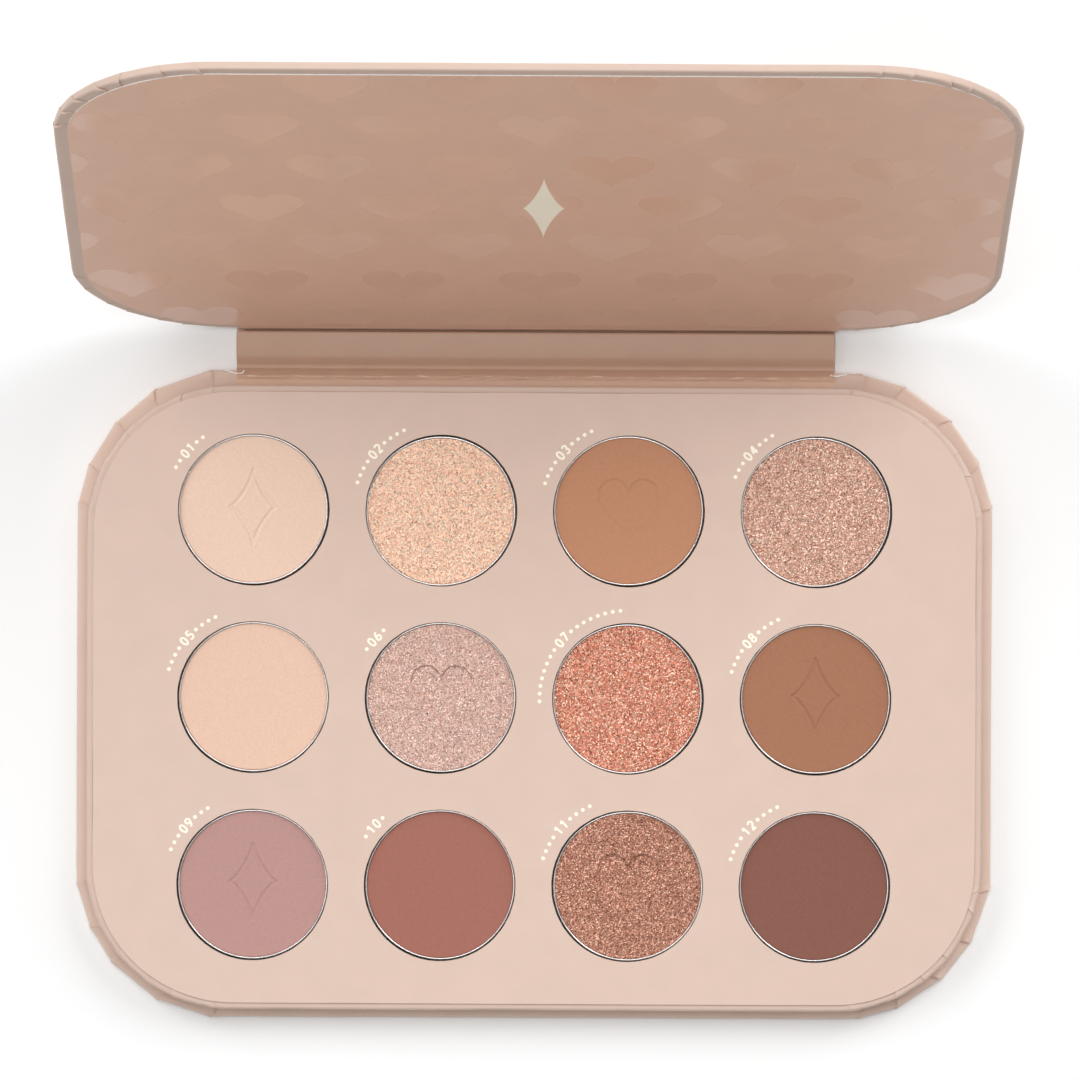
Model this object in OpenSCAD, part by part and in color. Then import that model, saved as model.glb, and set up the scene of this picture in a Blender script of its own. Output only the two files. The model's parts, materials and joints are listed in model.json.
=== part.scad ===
// Eyeshadow palette: a round-cornered card case that opens like a book.
// A bottom board, a spine and a lid are joined by paper folds, and a wrapped
// tray on the bottom board holds twelve round metal pans of pressed powder.
// Origin: centre of the underside. +X to the right, +Y to the hinge, +Z up.
// The case is drawn open, with its spine flat on the table and its lid leaning back.

/* [Case] */
// Width of the case, left to right
case_w = 159.4; // [156:0.2:180]
// Depth of the case, from the hinge to the front edge
case_d = 112.6; // [112:0.2:130]
// Radius of the case's corners in plan
corner_r = 27.2; // [20:0.2:30]
// Thickness of one finished cover board, with its papers
board_t = 1.6; // [1.4:0.1:2.4]
// Thickness of the wrapping paper and of the lining paper
paper_t = 0.15; // [0.1:0.01:0.2]
// Width of wrapping paper turned over the edge of a board
turn_in = 12; // [8:1:16]
// How far the lining paper of the lid stays inside the lid's edge
lining_inset = 1.4; // [0.6:0.1:3]

/* [Hinge] */
// Angle of the open lid above the table
lid_lean = 69; // [60:1:85]
// Length of paper between the edge of a board and its fold line
fold_margin = 0.45; // [0.4:0.05:0.8]
// Clearance between the spine and each board when the case is shut
fold_clearance = 0.15; // [0.1:0.05:0.3]
// Clearance between the lid and the tray when the case is shut
lid_gap = 0.4; // [0.3:0.1:1]

/* [Tray] */
// Height of the tray, with its top sheet
tray_h = 4.8; // [4.6:0.1:6]
// Ledge of cover board that shows beside the tray
side_ledge = 1.9; // [1.4:0.1:3]
// Ledge of cover board in front of and behind the tray, on average
end_ledge = 2.05; // [1.6:0.05:3]
// How far the tray sits forward of the middle of the case
tray_forward = 0.45; // [0:0.05:0.6]
// Thickness of the printed sheet on top of the tray
sheet_t = 0.3; // [0.2:0.05:0.5]
// How far the top sheet stays inside the tray's edge
sheet_inset = 1.1; // [0.6:0.1:2]
// Width of wrapping paper turned over the edges of the tray
tray_turn_in = 6; // [3:0.5:6.5]

/* [Pans] */
// Outside diameter of a pan
pan_d = 26; // [24:0.1:26]
// Height of a pan
pan_h = 4.1; // [3.6:0.1:4.2]
// Thickness of a pan's metal
pan_wall = 0.28; // [0.2:0.02:0.4]
// Distance between the middles of neighbouring pans
pan_pitch = 32.6; // [31.6:0.2:33]
// Diameter of the pan holes in the tray
hole_d = 26.4; // [26.4:0.1:27.2]
// Depth of the powder's surface below the pan's rim
powder_drop = 0.3; // [0.2:0.05:0.6]
// Diameter of the adhesive disc under each pan
glue_d = 20; // [10:1:24]
// Thickness of the adhesive disc under each pan
glue_t = 0.25; // [0.1:0.05:0.3]

/* [Magnets] */
// Diameter of the hidden closing magnets
magnet_d = 6; // [4:0.5:6]
// Thickness of a magnet in the lid
lid_magnet_t = 0.9; // [0.5:0.1:0.9]
// Thickness of a magnet in the tray
tray_magnet_t = 1.5; // [1:0.1:3]
// Distance between the two magnets of a pair
magnet_gap_x = 80; // [40:2:100]

/* [Hidden] */
$fn = 96;

columns = 4;
rows = 3;
pan_count = columns * rows;

// How far each pan sits off the middle of its hole, row by row from the back left
pan_shift = [
    [-0.10, 0.10], [-0.12, -0.08], [-0.08, 0.12], [-0.14, 0.06],
    [0.10, 0.10], [0.08, 0.12], [-0.14, 0], [0, 0.14],
    [0.10, 0.10], [0.08, 0.12], [0.14, 0.04], [-0.08, 0.08]
];

// Colour of each shade, in the same order
shade_rgb = [
    [0.91, 0.79, 0.71], [0.93, 0.75, 0.65], [0.73, 0.53, 0.42], [0.80, 0.63, 0.55],
    [0.94, 0.79, 0.71], [0.85, 0.69, 0.64], [0.85, 0.57, 0.48], [0.69, 0.48, 0.38],
    [0.76, 0.60, 0.57], [0.68, 0.45, 0.40], [0.72, 0.51, 0.43], [0.57, 0.38, 0.34]
];

wrap_rgb = [0.88, 0.78, 0.72];
lining_rgb = [0.71, 0.57, 0.50];
greyboard_rgb = [0.62, 0.60, 0.57];
card_rgb = [0.93, 0.92, 0.90];

// Straight stretch of the hinge side, between the corners
fold_len = case_w - 2 * corner_r - 0.6;
closed_t = 2 * board_t + tray_h + lid_gap;
// The fold lines lie in the middle of the two papers that cross the hinge
fold_z = paper_t;
base_fold_y = case_d / 2 + fold_margin;
fold_span = closed_t - 2 * fold_z;
lid_fold_y = base_fold_y + fold_span;
// Distance from a fold line to the nearer edge of the spine board
spine_margin = board_t - fold_z + fold_clearance;
spine_d = fold_span - 2 * spine_margin;
bead_clearance = 0.03;

core_top = board_t - 2 * paper_t;
turn_in_top = board_t - paper_t;
hidden_inset = 3;

tray_w = case_w - 2 * side_ledge;
tray_d = case_d - 2 * end_ledge;
tray_r = corner_r - side_ledge;
tray_top = board_t + tray_h;
sheet_z = tray_top - sheet_t;
front_wall = (tray_d - (rows - 1) * pan_pitch - hole_d) / 2;
magnet_y = -tray_forward - tray_d / 2 + front_wall / 2;
pocket_d = magnet_d + 0.1;

pan_z = board_t + glue_t;

function two_digits(n) = str(n < 10 ? "0" : "", n);
function numbered(name, i) = str(name, "_", two_digits(i + 1));
function hole_at(i) = [
    (i % columns - (columns - 1) / 2) * pan_pitch,
    ((rows - 1) / 2 - floor(i / columns)) * pan_pitch - tray_forward
];

// A flat plate with round corners, from height z0 to height z1
module plate(w, d, r, z0, z1) {
    translate([0, 0, z0])
        linear_extrude(z1 - z0) {
            square([w - 2 * r, d], center = true);
            square([w, d - 2 * r], center = true);
            for (x = [-1, 1], y = [-1, 1])
                translate([x * (w / 2 - r), y * (d / 2 - r)]) circle(r);
        }
}

// A box centred on X, from y0 to y1 and from z0 to z1
module strip(len, y0, y1, z0, z1) {
    translate([-len / 2, y0, z0]) cube([len, y1 - y0, z1 - z0]);
}

module pan_holes(d, z0, z1) {
    for (i = [0 : pan_count - 1])
        translate([hole_at(i).x, hole_at(i).y, z0]) cylinder(d = d, h = z1 - z0);
}

module magnet_pair(d, y, z, h) {
    for (x = [-1, 1])
        translate([x * magnet_gap_x / 2, y, z]) cylinder(d = d, h = h);
}

// One cover board lying with its outer face down, centred on the origin
module cover_core() {
    plate(case_w - 2 * paper_t, case_d - 2 * paper_t, corner_r - paper_t, paper_t, core_top);
}

module lining_window() {
    plate(case_w - 2 * turn_in, case_d - 2 * turn_in, corner_r - turn_in, core_top, turn_in_top);
}

// Wrapping paper of a cover board, with the fold that leaves its hinge edge at +Y
module cover_wrap() {
    difference() {
        plate(case_w, case_d, corner_r, 0, turn_in_top);
        cover_core();
        lining_window();
    }
    strip(fold_len, case_d / 2, case_d / 2 + fold_margin, 0, 2 * paper_t);
    translate([-fold_len / 2, case_d / 2 + fold_margin, fold_z])
        rotate([0, 90, 0]) cylinder(r = paper_t, h = fold_len);
}

// Lining sheet of a cover board, with a tongue that runs to the hinge edge at +Y
module cover_lining(inset) {
    lining_window();
    plate(case_w - 2 * inset, case_d - 2 * inset, corner_r - inset, turn_in_top, board_t);
    strip(fold_len, 0, case_d / 2, turn_in_top, board_t);
}

module bottom_board() {
    color(greyboard_rgb) cover_core();
}

module bottom_wrap() {
    color(wrap_rgb) cover_wrap();
}

module bottom_lining() {
    color(lining_rgb) cover_lining(hidden_inset);
}

// The tray block without its holes, between the turned-in papers
module tray_core() {
    plate(tray_w - 2 * paper_t, tray_d - 2 * paper_t, tray_r - paper_t, board_t + paper_t, sheet_z - paper_t);
}

module tray_block() {
    color(card_rgb)
        difference() {
            translate([0, -tray_forward, 0]) tray_core();
            pan_holes(hole_d, board_t, tray_top);
            magnet_pair(pocket_d, magnet_y, sheet_z - paper_t - tray_magnet_t, tray_magnet_t);
        }
}

// Paper round the tray's side, turned in over its top and under its bottom
module tray_wrap() {
    color(wrap_rgb)
        translate([0, -tray_forward, 0])
            difference() {
                plate(tray_w, tray_d, tray_r, board_t, sheet_z);
                tray_core();
                plate(
                    tray_w - 2 * tray_turn_in, tray_d - 2 * tray_turn_in, tray_r - tray_turn_in,
                    board_t, sheet_z
                );
            }
}

module tray_top_sheet() {
    color(wrap_rgb)
        difference() {
            translate([0, -tray_forward, 0])
                plate(
                    tray_w - 2 * sheet_inset, tray_d - 2 * sheet_inset, tray_r - sheet_inset,
                    sheet_z, tray_top
                );
            pan_holes(hole_d, board_t, tray_top);
        }
}

module tray_magnets() {
    color("silver") magnet_pair(magnet_d, magnet_y, sheet_z - paper_t - tray_magnet_t, tray_magnet_t);
}

module pan_adhesive_discs() {
    color("white")
        for (i = [0 : pan_count - 1])
            translate([hole_at(i).x + pan_shift[i].x, hole_at(i).y + pan_shift[i].y, board_t])
                cylinder(d = glue_d, h = glue_t);
}

// Moves to the middle of a pan's underside
module at_pan(i) {
    translate([hole_at(i).x + pan_shift[i].x, hole_at(i).y + pan_shift[i].y, pan_z]) children();
}

module pan(i) {
    color("silver")
        at_pan(i)
            difference() {
                cylinder(d = pan_d, h = pan_h);
                translate([0, 0, pan_wall]) cylinder(d = pan_d - 2 * pan_wall, h = pan_h);
            }
}

module powder(i) {
    color(shade_rgb[i])
        at_pan(i)
            translate([0, 0, pan_wall])
                cylinder(d = pan_d - 2 * pan_wall, h = pan_h - pan_wall - powder_drop);
}

// The spine lies flat behind the bottom board, its outer face down
module spine_core() {
    strip(
        fold_len - 2 * paper_t, base_fold_y + spine_margin + paper_t, lid_fold_y - spine_margin - paper_t,
        paper_t, core_top
    );
}

module spine_board() {
    color(greyboard_rgb) spine_core();
}

module spine_wrap() {
    color(wrap_rgb) {
        difference() {
            strip(fold_len, base_fold_y + spine_margin, lid_fold_y - spine_margin, 0, turn_in_top);
            spine_core();
        }
        strip(
            fold_len, base_fold_y + paper_t + bead_clearance, base_fold_y + spine_margin,
            0, 2 * paper_t
        );
        strip(
            fold_len, lid_fold_y - spine_margin, lid_fold_y - paper_t - bead_clearance,
            0, 2 * paper_t
        );
    }
}

module spine_lining() {
    color(lining_rgb)
        strip(fold_len, base_fold_y + spine_margin, lid_fold_y - spine_margin, turn_in_top, board_t);
}

// Takes a cover board lying hinge edge first and leans it back from the lid's fold line
module at_lid() {
    translate([0, lid_fold_y, fold_z])
        rotate([lid_lean, 0, 0])
            translate([0, fold_margin + case_d / 2, -fold_z])
                mirror([0, 1, 0]) children();
}

module lid_board() {
    color(greyboard_rgb)
        at_lid()
            difference() {
                cover_core();
                magnet_pair(pocket_d, magnet_y, core_top - lid_magnet_t, lid_magnet_t);
            }
}

module lid_wrap() {
    color(wrap_rgb) at_lid() cover_wrap();
}

module lid_lining() {
    color(lining_rgb) at_lid() cover_lining(lining_inset);
}

module lid_magnets() {
    color("silver") at_lid() magnet_pair(magnet_d, magnet_y, core_top - lid_magnet_t, lid_magnet_t);
}

bottom_board();
bottom_wrap();
bottom_lining();
tray_block();
tray_wrap();
tray_top_sheet();
tray_magnets();
pan_adhesive_discs();
for (i = [0 : pan_count - 1]) {
    pan(i);
    powder(i);
}
spine_board();
spine_wrap();
spine_lining();
lid_board();
lid_wrap();
lid_lining();
lid_magnets();
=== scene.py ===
import json
import math
import random

import bmesh
import bpy
import numpy as np
from mathutils import Matrix, Vector, geometry, noise


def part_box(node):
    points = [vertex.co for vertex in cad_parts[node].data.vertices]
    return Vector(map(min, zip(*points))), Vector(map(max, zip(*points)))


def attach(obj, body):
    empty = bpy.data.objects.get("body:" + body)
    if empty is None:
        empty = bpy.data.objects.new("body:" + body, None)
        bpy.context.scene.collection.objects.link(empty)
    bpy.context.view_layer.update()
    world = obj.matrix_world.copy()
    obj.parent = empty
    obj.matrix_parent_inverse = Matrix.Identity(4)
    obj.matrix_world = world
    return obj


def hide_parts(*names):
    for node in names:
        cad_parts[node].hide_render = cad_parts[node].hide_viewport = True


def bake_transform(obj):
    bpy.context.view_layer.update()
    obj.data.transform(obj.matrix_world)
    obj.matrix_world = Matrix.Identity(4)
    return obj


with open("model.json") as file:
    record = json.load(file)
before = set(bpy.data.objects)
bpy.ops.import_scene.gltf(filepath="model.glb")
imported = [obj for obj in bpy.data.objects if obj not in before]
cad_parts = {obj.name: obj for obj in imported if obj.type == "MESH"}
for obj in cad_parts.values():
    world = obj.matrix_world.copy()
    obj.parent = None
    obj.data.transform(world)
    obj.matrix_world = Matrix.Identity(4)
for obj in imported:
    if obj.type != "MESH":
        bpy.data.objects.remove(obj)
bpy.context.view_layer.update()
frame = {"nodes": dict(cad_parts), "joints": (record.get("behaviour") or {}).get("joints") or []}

MM = 0.001

# ---- Sizes that come from the CAD ----

wrap_low, wrap_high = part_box("bottom_wrap")
CASE_W = wrap_high.x - wrap_low.x
CASE_D = -2 * wrap_low.y
BOARD_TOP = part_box("bottom_lining")[1].z
TURN_IN_TOP = wrap_high.z
PAPER = BOARD_TOP - TURN_IN_TOP

tray_low, tray_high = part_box("tray_wrap")
TRAY_W = tray_high.x - tray_low.x
TRAY_D = tray_high.y - tray_low.y
TRAY_Y = (tray_high.y + tray_low.y) / 2
SHEET_LOW = tray_high.z
card_low, card_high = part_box("tray_top_sheet")
CARD_W = card_high.x - card_low.x
CARD_D = card_high.y - card_low.y
TRAY_TOP = card_high.z

JOINTS = {j["name"]: j for j in frame["joints"]}
BASE_FOLD = Vector(JOINTS["spine_fold"]["pos_m"])
LID_FOLD = Vector(JOINTS["lid_fold"]["pos_m"])
LEAN = math.radians(max(JOINTS["lid_fold"]["range_deg"]))
FOLD_MARGIN = BASE_FOLD.y - CASE_D / 2

spine_low, spine_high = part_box("spine_lining")
SPINE_BACK = spine_high.y
SPINE_FRONT = spine_low.y
FOLD_HALF = spine_high.x

PAN_NAMES = sorted(n for n in frame["nodes"] if n.startswith(("pan_0", "pan_1")))
PAN_BOXES = [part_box(name) for name in PAN_NAMES]
POWDER_BOXES = [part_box(name.replace("pan", "powder")) for name in PAN_NAMES]
COLUMNS = 4
ROWS = 3
# each pan sits a little off the middle of its hole, so the holes' pitch is a round number near the pans'
PITCH = (PAN_BOXES[3][0].x - PAN_BOXES[0][0].x) / (COLUMNS - 1)
PITCH = round(PITCH / MM / 0.2) * 0.2 * MM

# ---- Sizes of the details that only the looks have ----

CORNER_R = 27.2 * MM
TRAY_CORNER_R = 25.3 * MM
CARD_CORNER_R = 24.2 * MM
TURN_IN = 12 * MM
TRAY_TURN_IN = 6 * MM
HOLE_R = 13.2 * MM
LINING_INSET = 1.75 * MM
LINING_SHIFT = 0.5 * MM
LINING_RISE = 0.04 * MM

# How the corners of each wrapped part are pleated: number of flat facets, how flat they are,
# how high a pleat stands and which corners are calm
BASE_PLEATS = {"facets": 4, "flatness": 0.9, "lift": (0.2 * MM, 0.28 * MM)}
LID_PLEATS = {"facets": 6, "flatness": 0.3, "lift": (0.2 * MM, 0.32 * MM), "calm": (2, 3)}
TRAY_PLEATS = {"facets": 5, "flatness": 0.4, "lift": (0.08 * MM, 0.15 * MM)}
# Height of the paper along one facet, from its overlapping edge to the crease before the next facet
PLEAT_STEPS = (0.0, 0.025, 0.07, 0.17, 0.36, 0.62, 0.87, 0.96, 1.0)
PLEAT_SHAPE = (1.2, 1.4, 1.0, 0.5, 0.22, 0.06, 0.0, -0.3, -0.5)
PLEAT_OUT = 0.4
CALM_PLEAT = 0.3
# How unequal the facets are, how much their pleats slant, how far in a facet's middle lies and how far
# out the paper stands along the straight sides
FACET_SPREAD = 0.24
PLEAT_SLANT = 0.7
FACET_IN = 0.06 * MM
SIDE_OUT = 0.04 * MM

HEART_W = 14.2 * MM
HEART_D = 13.2 * MM
HEART_PITCH_X = 23.4 * MM
HEART_PITCH_Y = 16.87 * MM
HEART_FIRST_ROW = 4.2 * MM
HEART_ROWS = 7
VARNISH_T = 0.012 * MM

PRESSED_HEART = (10.5 * MM, 10.2 * MM)
PRESSED_STAR = (8.0 * MM, 13.0 * MM)
PRESSED_UP = 0.4 * MM
PRESS_DEPTH = 0.16 * MM
SHIMMER_PRESS_DEPTH = 0.34 * MM
PRESS_EDGE = 0.26 * MM
PRESS_RIDGE = 0.03 * MM
POWDER_EDGE = 0.3 * MM
POWDER_EDGE_DROP = 0.16 * MM
GROOVE_HALF = 0.26 * MM

NUMERAL_R = 15.4 * MM
NUMERAL_H = 1.75 * MM
NUMERAL_STROKE = 0.36 * MM
NUMERAL_ANGLE = 138.5
DOT_R = 0.34 * MM
DOT_SPACING = 1.35 * MM
DOT_GAP = 0.75 * MM
INK_T = 0.012 * MM

# Shades row by row from the back left: colour, pressed mark and the angle that each row of dots reaches.
# Shimmers also have dark and light flake colours, the flakes' own tones with painted shade and painted glints
# in them, and a grain where theirs is finer.
SHADES = [
    {"rgb": (231, 201, 181), "mark": "star", "arc": 17},
    {"rgb": (252, 204, 176), "dark": (232, 174, 144), "light": (255, 226, 202), "arc": 26},
    {"rgb": (188, 135, 105), "mark": "heart", "arc": 25},
    {"rgb": (207, 159, 138), "dark": (172, 121, 100), "light": (242, 204, 187), "arc": 19},
    {"rgb": (227, 192, 171), "arc": 24},
    {"rgb": (215, 175, 160), "dark": (189, 144, 128), "light": (239, 209, 198), "grain": 0.85,
     "mark": "heart", "arc": 13},
    {"rgb": (215, 135, 109), "dark": (150, 68, 50), "light": (255, 202, 178), "arc": 45},
    {"rgb": (162, 113, 87), "mark": "star", "arc": 24},
    {"rgb": (183, 142, 136), "mark": "star", "arc": 20},
    {"rgb": (160, 105, 92), "arc": 13},
    {"rgb": (176, 118, 96), "dark": (112, 58, 42), "light": (232, 182, 160), "grain": 0.9,
     "mark": "heart", "arc": 28},
    {"rgb": (133, 88, 76), "arc": 28},
]

# ---- Colours ----


def linear(rgb):
    """An 8-bit display colour as linear light."""
    values = []
    for c in rgb:
        s = c / 255
        values.append(s / 12.92 if s <= 0.04045 else ((s + 0.055) / 1.055) ** 2.4)
    return tuple(values)


def scaled(rgb, factor):
    """A linear colour made lighter or darker."""
    return tuple(min(1.0, c * factor) for c in rgb)


def tinted(rgb, factors):
    """A linear colour with a factor for each channel."""
    return tuple(c * k for c, k in zip(rgb, factors))


# ---- Materials ----


class Shader:
    """A node material with a Principled shader and short ways to add textures."""

    def __init__(self, name, rgb, roughness=0.6, metallic=0.0, specular=0.5):
        self.material = bpy.data.materials.new(name)
        self.material.use_nodes = True
        self.material.diffuse_color = (*rgb, 1)
        self.nodes = self.material.node_tree.nodes
        self.bsdf = next(n for n in self.nodes if n.type == "BSDF_PRINCIPLED")
        for socket, value in (
            ("Base Color", (*rgb, 1)), ("Roughness", roughness),
            ("Metallic", metallic), ("Specular IOR Level", specular),
        ):
            self.bsdf.inputs[socket].default_value = value
        self.place = self.nodes.new("ShaderNodeTexCoord").outputs["Object"]
        self.bump_chain = None

    def link(self, source, target):
        self.material.node_tree.links.new(source, target)

    def node(self, kind, values=(), sources=(), **settings):
        """A new node. Values and sources are pairs of an input's name or number and what it gets."""
        node = self.nodes.new("ShaderNode" + kind)
        for setting, choice in settings.items():
            setattr(node, setting, choice)
        for socket, value in values:
            node.inputs[socket].default_value = value
        for socket, source in sources:
            self.link(source, node.inputs[socket])
        return node

    def noise(self, feature, detail=3.0, rough=0.55):
        """Noise with features of about the given size in metres."""
        values = [("Scale", 1 / feature), ("Detail", detail), ("Roughness", rough)]
        return self.node("TexNoise", values, [("Vector", self.place)]).outputs["Fac"]

    def cells(self, feature):
        """Voronoi cells of about the given size in metres."""
        return self.node("TexVoronoi", [("Scale", 1 / feature)], [("Vector", self.place)])

    def ramp(self, source, stops):
        """Maps a 0 to 1 value through colour stops (position, linear rgb)."""
        node = self.node("ValToRGB", sources=[("Fac", source)])
        elements = node.color_ramp.elements
        while len(elements) < len(stops):
            elements.new(0.5)
        for element, (position, rgb) in zip(elements, stops):
            element.position = position
            element.color = (*rgb, 1)
        return node.outputs["Color"]

    def spread(self, source, low, high, to_low, to_high):
        """Maps the range low to high onto to_low to to_high."""
        values = [("From Min", low), ("From Max", high), ("To Min", to_low), ("To Max", to_high)]
        return self.node("MapRange", values, [("Value", source)]).outputs["Result"]

    def bump(self, height, distance):
        """Adds a layer of bump, distance metres high."""
        node = self.node("Bump", [("Strength", 1.0), ("Distance", distance)], [("Height", height)])
        if self.bump_chain is not None:
            self.link(self.bump_chain, node.inputs["Normal"])
        self.bump_chain = node.outputs["Normal"]
        self.link(self.bump_chain, self.bsdf.inputs["Normal"])

    def tilt(self, colour, amount):
        """Leans the surface by a random colour, as flakes that lie each their own way."""
        centred = self.node("VectorMath", [(1, (0.5, 0.5, 0.5))], [(0, colour)], operation="SUBTRACT")
        lean = self.node(
            "VectorMath", [("Scale", amount)], [(0, centred.outputs["Vector"])], operation="SCALE"
        )
        both = [(0, self.node("NewGeometry").outputs["Normal"]), (1, lean.outputs["Vector"])]
        total = self.node("VectorMath", sources=both, operation="ADD")
        unit = self.node("VectorMath", sources=[(0, total.outputs["Vector"])], operation="NORMALIZE")
        self.bump_chain = unit.outputs["Vector"]

    def weave(self, period):
        """Height of a fine woven cloth, 0 to 1, from two crossed sets of bands."""
        values = [
            ("Scale", math.pi / 10 / period), ("Distortion", 0.6), ("Detail", 2.0), ("Detail Scale", 3.0),
        ]
        sources = [("Vector", self.place)]
        bands = [
            self.node(
                "TexWave", values, sources, wave_type="BANDS", bands_direction=direction, wave_profile="SIN"
            ).outputs["Fac"]
            for direction in ("X", "Y")
        ]
        total = self.node("Math", sources=enumerate(bands), operation="ADD")
        return self.spread(total.outputs["Value"], 0.0, 2.0, 0.0, 1.0)

    def speckle(self, rgb, texture, stops):
        """Base colour that follows a noise, through stops (position, factor on the colour)."""
        tones = [(position, scaled(rgb, factor)) for position, factor in stops]
        self.link(self.ramp(self.noise(*texture), tones), self.bsdf.inputs["Base Color"])

    def mottle(self, rgb, feature, amount):
        """Base colour that drifts a little lighter and darker."""
        self.speckle(rgb, (feature,), [(0.3, 1 - amount), (0.7, 1 + amount)])

    def vary_roughness(self, feature, low, high):
        value = self.spread(self.noise(feature), 0.3, 0.7, low, high)
        self.link(value, self.bsdf.inputs["Roughness"])


def surface(name, rgb, tone, gloss, bumps, **looks):
    """A material that varies from place to place.

    Tone is the size and amount of its drift in colour, gloss the size and range of its roughness, and each
    bump a height followed by the size, detail and roughness of its noise.
    """
    shader = Shader(name, rgb, **looks)
    shader.mottle(rgb, *tone)
    shader.vary_roughness(*gloss)
    for height, *texture in bumps:
        shader.bump(shader.noise(*texture), height)
    return shader.material


def paper(name, rgb, roughness, grain=0.006 * MM, drift=0.02):
    """Coated printed paper with a fine tooth and slight drifts of tone."""
    return surface(
        name, rgb, (6 * MM, drift), (1.5 * MM, roughness - 0.04, roughness + 0.04),
        [(0.03 * MM, 9 * MM, 2.0), (grain, 0.22 * MM, 3.0)], roughness=roughness,
    )


def lining_paper(name, rgb, roughness):
    return surface(
        name, rgb, (5 * MM, 0.02), (2 * MM, roughness - 0.05, roughness + 0.05),
        [(0.04 * MM, 12 * MM, 2.0), (0.006 * MM, 0.2 * MM, 3.0)], roughness=roughness,
    )


def heart_varnish(name, rgb):
    """Gloss varnish over the lining paper: sharp but ragged reflections."""
    return surface(
        name, rgb, (5 * MM, 0.02), (3 * MM, 0.04, 0.14),
        [(0.1 * MM, 12 * MM, 2.0), (0.03 * MM, 1.1 * MM, 4.0, 0.6)], roughness=0.08, specular=0.65,
    )


def metal(name, rgb, roughness, streak):
    return surface(
        name, rgb, (2 * MM, 0.06), (0.8 * MM, roughness - 0.06, roughness + 0.08),
        [(streak, 0.5 * MM, 3.0)], roughness=roughness, metallic=1.0,
    )


def rough_board(name, rgb, fibre):
    """Pressed board with fibres and specks."""
    shader = Shader(name, rgb, 0.9, specular=0.2)
    shader.speckle(rgb, (0.5 * MM, 5.0, 0.7), [(0.3, 0.85), (0.55, 1.0), (0.75, 1.1)])
    shader.bump(shader.noise(0.3 * MM, 4.0, 0.7), fibre)
    return shader.material


def matte_powder(name, rgb):
    """Pressed matte powder: fine speckle and the weave of the pressing cloth."""
    shader = Shader(name, rgb, 0.85, specular=0.25)
    shader.speckle(rgb, (0.18 * MM, 4.0, 0.7), [(0.32, 0.88), (0.68, 1.1)])
    shader.bump(shader.noise(0.5 * MM, 4.0, 0.65), 0.012 * MM)
    shader.bump(shader.weave(0.36 * MM), 0.006 * MM)
    shader.bsdf.inputs["Sheen Weight"].default_value = 0.05
    return shader.material


def shimmer_powder(name, dark, middle, light, grain):
    """Pressed shimmer powder: flakes that each catch the light their own way, with painted glints and painted
    shade in their colours.
    """
    shader = Shader(name, middle, 0.35, metallic=0.6)
    flakes = shader.cells(0.17 * MM * grain)
    parts = shader.node("SeparateColor", sources=[("Color", flakes.outputs["Color"])])
    # the darkest cells go below the dark flake colour and the brightest beyond the light one: painted shade
    # and painted glints
    stops = [
        (0.0, scaled(dark, 0.75)), (0.3, scaled(middle, 0.82)), (0.68, scaled(middle, 1.02)),
        (0.88, scaled(light, 1.1)), (0.97, scaled(light, 1.4)),
    ]
    shader.link(shader.ramp(parts.outputs["Red"], stops), shader.bsdf.inputs["Base Color"])
    shader.link(shader.spread(parts.outputs["Green"], 0, 1, 0.2, 0.6), shader.bsdf.inputs["Roughness"])
    shader.tilt(flakes.outputs["Color"], 0.85)
    shader.bump(shader.noise(0.25 * MM, 4.0, 0.7), 0.012 * MM)
    return shader.material


WRAP_RGB = scaled(linear((228, 201, 185)), 0.85)
LINING_RGB = scaled(linear((183, 149, 130)), 1.56)

MAT_WRAP = paper("soft_touch_wrap_paper", WRAP_RGB, 0.55)
# the lid's wrap is the base's paper made darker: painted shade
MAT_LID_WRAP_SHADED = paper("soft_touch_lid_paper_painted_shade", scaled(WRAP_RGB, 0.9), 0.55)
# the tray's wrap is the base's paper made darker: painted shade
MAT_TRAY_WRAP_SHADED = paper("soft_touch_tray_paper_painted_shade", scaled(WRAP_RGB, 0.93), 0.55)
MAT_CARD = paper("soft_touch_card_top", WRAP_RGB, 0.52)
MAT_LINING = lining_paper("printed_lining_paper", LINING_RGB, 0.45)
# the spine's lining is the lid's lining paper made darker: painted shade
MAT_SPINE_LINING_SHADED = lining_paper("spine_lining_paper_painted_shade", tinted(LINING_RGB, (0.69, 0.69, 0.67)), 0.45)
# the ledge's lining is the lid's lining paper with its tone set for the light on the ledge: painted light and
# shade
MAT_LEDGE_LINING_PAINTED_LIGHT = lining_paper("ledge_lining_paper_painted_light", tinted(LINING_RGB, (0.92, 0.99, 0.98)), 0.45)
# a lighter paper colour along the ridge's crest: a painted highlight
MAT_CREST_HIGHLIGHT = lining_paper("crest_paper_painted_highlight", linear((222, 188, 168)), 0.5)
MAT_VARNISH = heart_varnish("spot_gloss_varnish", LINING_RGB)
MAT_RAW_EDGE = rough_board("raw_paper_edge", linear((246, 244, 242)), 0.01 * MM)
MAT_CUT_EDGE = rough_board("cut_card_edge", scaled(WRAP_RGB, 0.85), 0.01 * MM)
MAT_INK = paper("cream_ink", linear((253, 244, 224)), 0.5, grain=0.003 * MM, drift=0.01)
MAT_GREYBOARD = rough_board("greyboard", linear((160, 155, 148)), 0.03 * MM)
MAT_TRAY_CARD = rough_board("white_tray_card", linear((226, 222, 216)), 0.02 * MM)
MAT_NICKEL = metal("nickel_plated_magnet", linear((200, 198, 196)), 0.25, 0.002 * MM)
MAT_ADHESIVE = rough_board("adhesive_foam", linear((232, 232, 226)), 0.03 * MM)
MAT_PAN = metal("drawn_aluminium_pan", linear((226, 224, 224)), 0.22, 0.003 * MM)

# ---- Mesh helpers ----


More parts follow.
